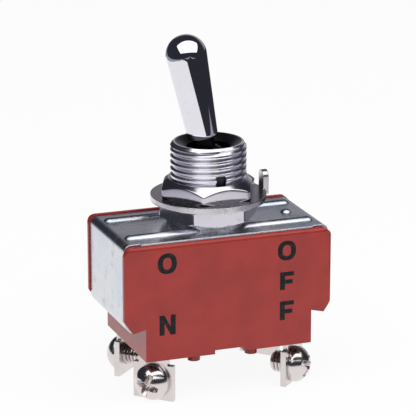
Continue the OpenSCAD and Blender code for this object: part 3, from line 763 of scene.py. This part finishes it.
@dataclass
class Mounting(SubAssembly):
    """The bushing with its two nuts and the locking ring."""

    thread_r: float = 6.0
    pitch: float = 1.0
    thread_depth: float = 0.38
    thread_start: float = 198.0
    pitch_r: float = 5.675
    rim: float = 8.5
    rim_chamfer: float = 0.5
    mouth_r: float = 5.1
    mouth_depth: float = 0.9
    bore_r: float = 3.5
    relief_r: float = 4.128
    relief_top: float = -3.01
    clinch_r: float = 6.5
    spigot_r: float = 5.5
    collar_r: float = 6.6
    clinch_low: float = -6.1
    cover_low: float = -5.3
    cover_top: float = -4.5
    backing_low: float = -3.5
    backing_top: float = -0.9
    nut_top: float = 2.7
    keyway_half: float = 0.825
    keyway_floor: float = 5.0
    keyway_top: float = 4.0
    groove_half: float = 1.05
    groove_reach: float = 4.4
    pivot: float = 4.7
    flat_r: float = 7.0
    face_r: float = 7.383
    face_angle: float = 27.0
    nut_bore_r: float = 5.695
    land_r: float = 6.35
    land_angle: float = 37.0
    backing_turn: float = -6.1
    mounting_turn: float = 4.4
    corner_power: float = 60.0
    crowding: float = 0.85
    countersink: float = 0.35
    cut_over: float = 1.0

    def build(self) -> None:
        """Make the bushing and the nuts, and dress the ring."""
        self.add(self.bushing(), Body.HOUSING, Slot.BUSHING, "bushing")
        backing = self.nut("backing_nut_soft", self.backing_low, self.backing_top, self.backing_turn,
                           self.face_r, self.face_angle)
        self.add(backing, Body.HOUSING, Slot.NUT, "backing_nut")
        mounting = self.nut("mounting_nut_soft", 0.0, self.nut_top, self.mounting_turn,
                            self.land_r, self.land_angle)
        self.add(mounting, Body.HOUSING, Slot.NUT, "mounting_nut")
        self.dress_node("locking_ring", Slot.RING)

    def bushing(self) -> Piece:
        """Carry the bushing's profile round its axis, with a screw thread on its free stretch.

        Above the nut the radius is the thread's crest less its depth times the wave of z / pitch - a / 2 pi,
        with a measured from the thread's start, or the rim's chamfer where that lies further in.

        Returns:
            The threaded bushing, with the keyway and the pin's grooves cut out.
        """
        angle = around(160)
        inside = np.array([
            [self.relief_r, self.clinch_low], [self.bore_r, self.relief_top],
            [self.bore_r, self.rim - self.mouth_depth], [self.mouth_r, self.rim],
        ])
        steps = (self.pitch_r, self.thread_r, self.pitch_r, self.collar_r, self.spigot_r, self.clinch_r)
        levels = (self.nut_top, 0.0, self.backing_top, self.backing_low, self.cover_top, self.cover_low,
                  self.clinch_low)
        outside = np.stack([np.append(np.repeat(steps, 2), self.relief_r), np.repeat(levels, 2)[1:]], -1)
        lead = angle - math.radians(self.thread_start)
        height = thread_rows(self.nut_top, self.rim, self.pitch, lead)
        wave = thread_wave(height / self.pitch - lead / FULL_TURN)
        chamfer = self.thread_r - (height - self.rim + self.rim_chamfer)
        radius = np.minimum(self.thread_r - self.thread_depth * wave, chamfer)
        full = [np.repeat(part[:, :, None], len(angle), 2) for part in (inside, outside)]
        radii = np.concatenate([full[0][:, 0], radius, full[1][:, 0]])
        heights = np.concatenate([full[0][:, 1], height, full[1][:, 1]])
        piece = surface("bushing_threaded", [carried(radii, heights, angle)])
        keyway = block("keyway", (-self.keyway_half, -self.thread_r - self.cut_over, self.backing_low),
                       (self.keyway_half, -self.keyway_floor, self.keyway_top))
        arch = arc(self.pivot, self.groove_half, 0.0, 180.0, 25)
        below = self.clinch_low - self.cut_over
        foot = np.array([[-self.groove_half, below], [self.groove_half, below]])
        grooves = prisms("grooves", [np.concatenate([foot, arch])], -self.groove_reach, self.groove_reach)
        cut(piece, [keyway, grooves])
        return piece

    def nut(
        self, name: str, low: float, high: float, turn: float, top_r: float, slope: float
    ) -> Piece:
        """Carry a nut's profile round its axis.

        The outside at angle a is flat_r / (sum of |cos(a - a_i)|^p)^(1/p) over the three pairs of flats,
        which is a hexagon with rounded corners. Below, a cone from the face radius takes off its corners, and
        above, one from the top radius. The columns crowd towards the corners.

        Args:
            name: name of the piece.
            low: lower face.
            high: upper face.
            turn: angle of one corner, in degrees.
            top_r: radius of the flat land on the upper face.
            slope: angle of the upper cone, in degrees.

        Returns:
            The nut, with soft edges.
        """
        even = around(240)
        angle = even - self.crowding / 6 * np.sin(6 * even) + math.radians(turn)
        flats = math.radians(turn) + np.radians([30.0, 90.0, 150.0])
        lobes = np.abs(np.cos(angle - flats[:, None])) ** self.corner_power
        side = self.flat_r / lobes.sum(0) ** (1 / self.corner_power)
        lift = np.maximum(side - self.face_r, 0.0) * math.tan(math.radians(self.face_angle))
        drop = np.maximum(side - top_r, 0.0) * math.tan(math.radians(slope))
        flush = np.zeros_like(side)
        sink = self.countersink
        bore, mouth = flush + self.nut_bore_r, flush + self.nut_bore_r + sink
        below, above = flush + low, flush + high
        radii = [bore, mouth, np.minimum(side, self.face_r), side, side, np.minimum(side, top_r), mouth, bore]
        heights = [below + sink, below, below, low + lift, high - drop, above, above, above - sink]
        corners = np.stack([np.array(radii), np.array(heights)], -1)
        share = np.array([0.2, 0.8])[:, None, None]
        flat, cone = (corners[i] * (1 - share) + corners[i + 1] * share for i in (3, 4))
        corners = np.concatenate([corners[:4], flat, corners[4:5], cone, corners[5:]])
        profile = softened(corners, (0.0, 0.05, 0.12, 0.16, 0.0, 0.0, 0.16, 0.0, 0.0, 0.12, 0.05, 0.0))
        closed = np.concatenate([profile, profile[:1]])
        return surface(name, [carried(closed[..., 0], closed[..., 1], angle)])


@dataclass
class Lever(SubAssembly):
    """The bat, with the ball and stem in the bushing, and what moves with it."""

    pivot: float = 4.7
    tilt: float = -11.5
    reach: float = 21.4
    tip_r: float = 3.2
    foot_r: float = 2.4
    bat_start: float = 4.7
    neck_r: float = 1.7
    ball_r: float = 3.4
    stem_r: float = 1.5
    stem_end: float = 15.69
    pin_hole_r: float = 1.02
    spring_top: float = 13.32
    spring_end: float = 17.03
    coil_r: float = 1.04
    wire_r: float = 0.16
    coils: float = 5.0
    pole_y: float = 3.8
    spring_keep: float = 0.78
    flat_turns: float = 0.6
    foot_h: float = 0.6
    cut_over: float = 1.0

    def build(self) -> None:
        """Make the lever and the plunger springs, and dress the solids that stay."""
        self.add(self.bat(), Body.LEVER, Slot.LEVER, "toggle_lever")
        self.dress_node("pivot_pin", Slot.PIN)
        self.dress_node("drive_block", Slot.BLOCK)
        for side, y in (("front", -self.pole_y), ("rear", self.pole_y)):
            spring = self.spring(side, y)
            self.add(spring, Body.LEVER, Slot.SPRING, f"plunger_spring_{side}")
            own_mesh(spring)
            self.dress_node(f"plunger_{side}", Slot.PLUNGER)

    def seat(self) -> Triple:
        """The pivot's place."""
        return (0.0, 0.0, self.pivot)

    def bat(self) -> Piece:
        """Carry the lever's profile round its own axis and tilt it to its ON place.

        From below: the stem, a ball of radius ball_r about the pivot, the neck, the bat's foot, a cone, and a
        round tip that the cone meets without a corner, because the cone's slope is
        asin(tip_r / d) - atan(foot_r / h) for a tip that lies h above the foot and d away from its edge.

        Returns:
            The lever, with the pin's hole cut through the ball.
        """
        tip_centre = self.reach - self.tip_r
        low_arc = math.degrees(math.acos(self.stem_r / self.ball_r))
        high_arc = math.degrees(math.acos(self.neck_r / self.ball_r))
        rise = tip_centre - self.bat_start
        slope = math.asin(self.tip_r / math.hypot(rise, self.foot_r)) - math.atan(self.foot_r / rise)
        foot = softened(np.array([
            [self.neck_r, self.bat_start], [self.foot_r, self.bat_start],
            [self.foot_r + self.foot_h * math.tan(slope), self.bat_start + self.foot_h],
        ])[:, None], (0.0, 0.25, 0.0), 6)[:, 0]
        stem = softened(np.array([
            [0.0, -self.stem_end], [self.stem_r, -self.stem_end], [self.stem_r, -self.stem_end + 1.0],
        ])[:, None], (0.0, 0.3, 0.0), 4)[:, 0]
        profile = np.concatenate([
            stem, arc(0.0, self.ball_r, -low_arc, high_arc, 40), foot,
            arc(tip_centre, self.tip_r, -math.degrees(slope), 90.0, 60),
        ])
        grid = carried(profile[:, :1], profile[:, 1:], around(128))
        piece = surface("bat_lever", [tilted(grid, self.tilt, self.seat())])
        hole = arc(0.0, self.pin_hole_r, 0.0, 345.0, 24)
        reach = self.ball_r + self.cut_over
        across = prisms("pin_hole", [hole + np.array([0.0, self.pivot])], -reach, reach)
        cut(piece, [across])
        return piece

    def spring(self, side: str, y: float) -> Piece:
        """Carry a round wire along a helix whose end coils lie flat.

        The wire's middle is at coil_r (cos a, sin a) and climbs by s(u) of the free length, which is 0 over
        the first flat turns, 1 over the last, and even between. Its section is a circle across that path.

        Args:
            side: front or rear.
            y: place across the switch.

        Returns:
            The spring, in its bore.
        """
        u = np.linspace(0.0, self.coils, int(self.coils * 36) + 1)[:, None]
        around_wire = around(10)
        climb = np.clip((u - self.flat_turns) / (self.coils - 2 * self.flat_turns), 0.0, 1.0)
        length = self.spring_end - self.spring_top - 2 * self.wire_r
        height = -self.spring_top - self.wire_r - length * climb
        angle = FULL_TURN * u
        ends = np.ones_like(u)
        ends[[0, -1]] = 0.0
        section = self.wire_r * ends
        radius = self.coil_r + section * np.cos(around_wire)
        points = np.stack([radius * np.cos(angle), radius * np.sin(angle) + y,
                           height + section * np.sin(around_wire)], -1)
        return surface(f"coil_spring_{side}", [tilted(points, self.tilt, self.seat())], 60.0)


@dataclass
class Enclosure(SubAssembly):
    """The moulded case with its lettering, the steel cover and the sheet under it.

    Attributes:
        front: Y of the case's front.
        ink: thickness of the ink.
        bar: width of the letters' level strokes.
        stroke: width of their upright strokes.
        ovals: middle (x, z), half width and half height of each O.
        n_sides: left, right, low and high side of the N.
        f_sides: the same sides of each F.
        oval_power: how square an O is, 2 for an ellipse.
        f_middle: height of the F's middle bar, as a share of the letter's.
        f_short: how much shorter that bar is.
    """

    front: float = -9.55
    ink: float = 0.02
    bar: float = 0.68
    stroke: float = 0.82
    ovals: tuple[Sides, ...] = ((-10.28, -7.75, 1.55, 1.65), (9.56, -7.8, 1.53, 1.6))
    n_sides: Sides = (-11.6, -8.96, -19.35, -16.1)
    f_sides: tuple[Sides, ...] = ((8.45, 10.8, -14.2, -11.3), (8.45, 10.8, -19.2, -16.1))
    oval_power: float = 2.3
    f_middle: float = 0.56
    f_short: float = 0.25

    def build(self) -> None:
        """Dress the solids and stamp the two words."""
        self.dress_node("case", Slot.CASE)
        self.dress_node("steel_cover", Slot.COVER)
        self.dress_node("insulator", Slot.INSULATOR)
        rings = [self.ring(*oval) for oval in self.ovals]
        outlines = [self.letter_n(*self.n_sides), *(self.letter_f(*sides) for sides in self.f_sides)]
        letters = prisms("letters", outlines, self.front, self.front - self.ink)
        material = INK.material()
        for piece in (letters, surface("letter_rings", rings)):
            piece.data.materials.append(material)
            self.add(piece, Body.HOUSING, Slot.CASE)

    def ring(self, x: float, z: float, half_w: float, half_h: float) -> Array:
        """A letter O: four ovals, outer and inner and low and high, each (w |cos|^(2/p), h |sin|^(2/p)).

        Args:
            x: middle of the letter.
            z: middle of the letter.
            half_w: half its width.
            half_h: half its height.

        Returns:
            Points of shape (5, columns, 3), the last row closing on the first.
        """
        angle = around(48)
        power = 2 / self.oval_power
        across = np.sign(np.cos(angle)) * np.abs(np.cos(angle)) ** power
        up = np.sign(np.sin(angle)) * np.abs(np.sin(angle)) ** power
        inset = np.array([0.0, 0.0, 1.0, 1.0, 0.0])[:, None]
        level = self.front - self.ink * np.array([0.0, 1.0, 1.0, 0.0, 0.0])[:, None]
        points = np.broadcast_arrays(
            x + (half_w - self.stroke * inset) * across,
            level,
            z + (half_h - self.bar * inset) * up,
        )
        return np.stack(points, -1)

    def letter_n(self, left: float, right: float, low: float, high: float) -> Array:
        """Outline of an N.

        Args:
            left: left side.
            right: right side.
            low: lower side.
            high: upper side.

        Returns:
            Points (x, z) in order round the letter.
        """
        s = self.stroke
        notch = 1.15 * s + 0.35
        return np.array([
            [left, low], [left + s, low], [left + s, high - notch], [right - s, low], [right, low],
            [right, high], [right - s, high], [right - s, low + notch], [left + s, high], [left, high],
        ])

    def letter_f(self, left: float, right: float, low: float, high: float) -> Array:
        """Outline of an F, with the arguments and the result of letter_n."""
        inner = left + self.stroke
        short = right - self.f_short
        middle = low + self.f_middle * (high - low)
        return np.array([
            [left, low], [inner, low], [inner, middle - self.bar], [short, middle - self.bar],
            [short, middle], [inner, middle], [inner, high - self.bar], [right, high - self.bar],
            [right, high], [left, high],
        ])


@dataclass
class Terminals(SubAssembly):
    """The four terminals with their screws."""

    screw_x: float = 11.9
    screw_y: float = 7.2
    screw_z: float = -27.6
    head_r: float = 2.85
    head_h: float = 2.7
    rim_h: float = 0.8
    shank_r: float = 1.75
    tail: float = 3.6
    pitch: float = 0.6
    thread_depth: float = 0.34
    cross_l: float = 1.85
    cross_w: float = 0.5
    cross_depth: float = 1.2
    cross_power: float = 7.0
    turns: Sides = (70.0, 58.0, 74.0, 5.0)
    edge_soft: float = 0.12
    tip_chamfer: float = 0.45

    def build(self) -> None:
        """Make the screws and dress the strips."""
        screws = surface("cross_recess_screws", self.screws(), 40.0)
        self.add(screws, Body.HOUSING, Slot.SCREW, "terminal_screws")
        for side in ("front", "rear"):
            for end in ("common", "switched"):
                self.dress_node(f"{end}_terminal_{side}", Slot.TERMINAL)

    def screw(self, turn: float) -> Array:
        """One pan-head screw along +Z, its seat at 0, as a single grid from the recess to its tail's tip.

        The recess's edge is the larger of two bars at right angles, each
        ((|cos a| / l)^p + (|sin a| / w)^p)^(-1/p). Its floor is the same shape, drawn in. The head is a cap
        of a sphere on a short rim, and the tail's radius follows a thread.

        Args:
            turn: angle of the recess, in degrees.

        Returns:
            Points of shape (rows, columns, 3).
        """
        angle = around(192)
        bars = [
            ((np.abs(np.cos(angle - start)) / self.cross_l) ** self.cross_power
             + (np.abs(np.sin(angle - start)) / self.cross_w) ** self.cross_power) ** (-1 / self.cross_power)
            for start in np.radians([turn, turn + 90.0])
        ]
        edge = np.maximum(*bars)
        dome_h = self.head_h - self.rim_h
        dome_r = (dome_h**2 + self.head_r**2) / (2 * dome_h)

        def dome(radius: Array) -> Array:
            """Height of the head at a radius."""
            return self.head_h - dome_r + np.sqrt(dome_r**2 - radius**2)

        flush = np.zeros_like(angle)

        def row(radius: Array | float, height: Array | float) -> Array:
            """Rings of profile points (r, z)."""
            return np.stack([flush + radius, flush + height], -1)

        floor = self.head_h - self.cross_depth
        shoulder, lip = 1.02 * edge, 1.08 * edge + 0.05
        recess = np.stack([
            row(0.0, floor - 0.2), row(0.55 * edge, floor), row(0.92 * edge, dome(edge) - 0.15),
            row(shoulder, dome(shoulder)), row(lip, dome(lip)),
        ])
        soft = self.edge_soft
        rim = self.head_r - soft
        share = np.linspace(0.0, 1.0, 16)[1:, None]
        outer = lip * (1 - share) + rim * share
        cap = row(outer, dome(outer))
        side = softened(np.stack([
            row(rim, dome(flush + rim)), row(self.head_r, self.rim_h - 0.02), row(self.head_r, 0.0),
            row(self.shank_r, 0.0),
        ]), (0.0, soft, soft, 0.0), 4)
        height = thread_rows(-self.tail, 0.0, self.pitch, angle)
        wave = thread_wave(height / self.pitch - angle / FULL_TURN)
        point = self.shank_r - np.maximum(-self.tail + self.tip_chamfer - height, 0.0)
        shank = row(np.minimum(self.shank_r - self.thread_depth * wave, point), height)
        tip = row(0.0, -self.tail)[None]
        profile = np.concatenate([recess, cap, side, shank, tip])
        return carried(profile[..., 0], profile[..., 1], angle)

    def screws(self) -> list[Array]:
        """Turn one screw to each corner: its axis outwards, its first side down and its second across.

        Returns:
            One grid for each screw.
        """
        grids = []
        corners = [(-1, -1), (1, -1), (1, 1), (-1, 1)]
        for (sx, sy), turn in zip(corners, self.turns):
            outwards = np.array([sx, sy, 0.0]) / math.sqrt(2)
            down = np.array([0.0, 0.0, -1.0])
            axes = np.stack([down, np.cross(outwards, down), outwards])
            place = np.array([sx * self.screw_x, sy * self.screw_y, self.screw_z])
            grids.append(self.screw(turn) @ axes + place)
        return grids


@dataclass
class Contacts(SubAssembly):
    """What switches the two poles inside the case."""

    def build(self) -> None:
        """Dress the contactors and the contacts."""
        for side in ("front", "rear"):
            self.dress_node(f"contactor_{side}", Slot.CONTACTOR)
            self.dress_node(f"moving_contact_{side}", Slot.CONTACT)
            self.dress_node(f"fixed_contact_{side}", Slot.CONTACT)


@dataclass
class Studio:
    """A white floor, a large soft lamp over the front, a dark room and card for mirrors, and the camera.

    Attributes:
        sheet: sides (u, v, d) of the floor's white part, as mirrors see it, on which u x + v y = d.
        card: corners (x, z) of the dark card.
        card_y: its place in front.
        room_tone: colour of the room in mirrors.
        back_tone: colour of its lower back wall.
        side_tone: colour of the floor to either side of the white part.
        wall: heights between which the back wall is lit.
        right: places across the floor between which its right side is lit.
        left: the same for its left side.
    """

    floor_z: float = -30.5
    floor_half: float = 4000.0
    lamp_size: tuple[float, float] = (1.07, 0.63)
    lamp_distance: float = 0.45
    lamp_azimuth: float = -5.0
    lamp_elevation: float = 62.0
    lamp_watts: float = 3.4
    fill: float = 0.4
    sheet: tuple[Triple, ...] = (
        (-1.0, 0.0, 118.0), (1.0, 0.0, 62.0), (0.0, -1.0, 135.0), (0.0, 1.0, 210.0), (-1.0, 0.3, 112.0),
    )
    card: tuple[tuple[float, float], ...] = ((-45.3, 15.0), (8.5, -6.5), (130.0, -6.5), (130.0, 15.0))
    card_y: float = -40.0
    room_r: float = 1500.0
    room_tone: Color = (0.028, 0.03, 0.038)
    back_tone: Color = (0.5, 0.49, 0.54)
    side_tone: Color = (0.36, 0.35, 0.43)
    wall: Band = ((0.0, 80.0), (150.0, 850.0))
    right: Band = ((62.0, 75.0), (165.0, 200.0))
    left: Band = ((-190.0, -165.0), (-60.0, -30.0))
    lens: float = 225.68
    azimuth: float = -20.4
    elevation: float = 16.74
    distance: float = 412.0
    target: Triple = (0.0, 0.0, -4.3)
    shift: tuple[float, float] = (-0.0008, 0.0258)

    def build(self) -> None:
        """Set up everything that isn't part of the object."""
        bpy.context.scene.view_settings.view_transform = "Standard"
        self.world()
        self.floor()
        self.room()
        self.flag()
        self.lamp()
        self.camera()

    def direction(self, azimuth: float, elevation: float) -> Vector:
        """Unit vector from the object to a place round it; azimuth 0 lies in front."""
        a, e = math.radians(azimuth), math.radians(elevation)
        return Vector((math.sin(a) * math.cos(e), -math.cos(a) * math.cos(e), math.sin(e)))

    def seen(self, graph: Graph) -> dict[str, Value]:
        """Masks for what is seen directly, in metal and through glass."""
        path = graph.node("ShaderNodeLightPath").socket.node
        return {name: Value(graph, path.outputs[output]) for name, output in RAYS.items()}

    def world(self) -> None:
        """White where it is seen, and a dim even fill on everything else."""
        world = bpy.data.worlds.new("studio")
        world.use_nodes = True
        graph = Graph(world.node_tree)
        seen = self.seen(graph)
        white = graph.math("MINIMUM", seen["camera"] + seen["glossy"] + seen["glass"], 1.0)
        color = graph.mix(white, (self.fill,) * 3, (1.0, 1.0, 1.0))
        background = graph.node("ShaderNodeBackground", {}, {"Color": color})
        graph.node("ShaderNodeOutputWorld", {}, {"Surface": background})
        bpy.context.scene.world = world

    def floor(self) -> None:
        """A wide white floor, white in mirrors, that keeps some of the object's shadow."""
        reach = self.floor_half
        line = np.linspace(-reach, reach, 3)
        across, along = np.meshgrid(line, line)
        grid = np.stack([across, along, np.full_like(across, self.floor_z)], -1)
        piece = surface("floor", [grid])
        material, graph = blank("white_floor")
        seen = self.seen(graph)
        white = graph.math("MINIMUM", 0.92 * seen["camera"] + seen["glossy"] + seen["glass"], 1.0)
        matte = graph.node("ShaderNodeBsdfDiffuse", {}, {"Color": (0.86, 0.86, 0.86, 1.0)})
        glow = graph.node("ShaderNodeEmission", {}, {"Color": (1.0, 1.0, 1.0, 1.0)})
        mixed = graph.node("ShaderNodeMixShader", {}, {0: white, 1: matte, 2: glow})
        graph.node("ShaderNodeOutputMaterial", {}, {"Surface": mixed})
        piece.data.materials.append(material)

    def room(self) -> None:
        """A dark room that only mirrors see: the floor beyond the white sheet, and a dome over it.

        In the direction a, the sheet ends 1 / max((u cos a + v sin a) / d) away, over its sides. From there
        the grid runs out to a circle and up a quarter of a sphere.
        """
        u, v, d = np.array(self.sheet).T[:, :, None]
        angle = around(180)
        edge = 1 / np.max((u * np.cos(angle) + v * np.sin(angle)) / d, axis=0)
        dome = arc(0.0, self.room_r, 0.0, 90.0, 24)
        radii = np.concatenate([edge[None], np.repeat(dome[:, :1], len(angle), 1)])
        heights = np.concatenate([[[0.0]], dome[:, 1:]]) + self.floor_z + 0.2
        piece = surface("dark_room", [carried(radii, heights, angle)])
        material, graph = blank("dark_cloth")
        at = graph.place()
        across, along, height = (graph.axis(at, name) for name in "XYZ")
        back = graph.ease(along, 300.0, 1100.0) * graph.ease(across, -100.0, 400.0)
        right = graph.band(across, self.right) * (1 - graph.ease(along, 0.0, 30.0))
        side = (1 - graph.ease(height, 0.0, 100.0)) * (right + graph.band(across, self.left))
        tone = graph.mix(back * graph.band(height, self.wall), self.room_tone, self.back_tone)
        tone = graph.mix(side, tone, self.side_tone)
        self.mirrored(piece, material, graph, tone)

    def flag(self) -> None:
        """A dark card in front, to the right of the bat, that only mirrors see."""
        piece = prisms("dark_flag", [np.array(self.card)], self.card_y, self.card_y - 1.0)
        self.mirrored(piece, *blank("dark_card"), (*self.room_tone, 1.0))

    def mirrored(
        self,
        piece: Piece,
        material: bpy.types.Material,
        graph: Graph,
        tone: Value | Sequence[float],
    ) -> None:
        """Give a stage piece a colour that only mirrors see.

        Args:
            piece: the stage piece.
            material: its material.
            graph: the material's tree.
            tone: its colour.
        """
        glow = graph.node("ShaderNodeEmission", {}, {"Color": tone})
        graph.node("ShaderNodeOutputMaterial", {}, {"Surface": glow})
        piece.data.materials.append(material)
        piece.visible_camera = False
        piece.visible_diffuse = False
        piece.visible_transmission = False
        piece.visible_shadow = False

    def lamp(self) -> None:
        """One large soft box over the front of the object."""
        light = bpy.data.lights.new("soft_box", "AREA")
        light.shape = "RECTANGLE"
        light.size, light.size_y = self.lamp_size
        light.energy = self.lamp_watts
        lamp = bpy.data.objects.new("soft_box", light)
        towards = self.direction(self.lamp_azimuth, self.lamp_elevation)
        lamp.location = towards * self.lamp_distance
        lamp.rotation_euler = towards.to_track_quat("Z", "Y").to_euler()
        lamp.visible_camera = False
        bpy.context.scene.collection.objects.link(lamp)

    def camera(self) -> None:
        """The photograph's viewpoint and lens."""
        data = bpy.data.cameras.new("camera")
        data.lens = self.lens
        data.sensor_width = 36.0
        data.shift_x, data.shift_y = self.shift
        camera = bpy.data.objects.new("camera", data)
        towards = self.direction(self.azimuth, self.elevation)
        camera.location = (Vector(self.target) + towards * self.distance) * MM
        tilt = math.radians(90.0 - self.elevation)
        camera.rotation_euler = Euler((tilt, 0.0, math.radians(self.azimuth)))
        bpy.context.scene.collection.objects.link(camera)
        bpy.context.scene.camera = camera


def main() -> None:
    """Build the studio and each sub-assembly."""
    logging.basicConfig(level=logging.INFO, format="%(name)s %(message)s")
    materials = {slot: finish.material() for slot, finish in FINISHES.items()}
    Studio().build()
    for group in (Mounting, Lever, Enclosure, Terminals, Contacts):
        LOG.info("group %s", group.__name__)
        group(materials).build()


if __name__ == "__main__":
    main()
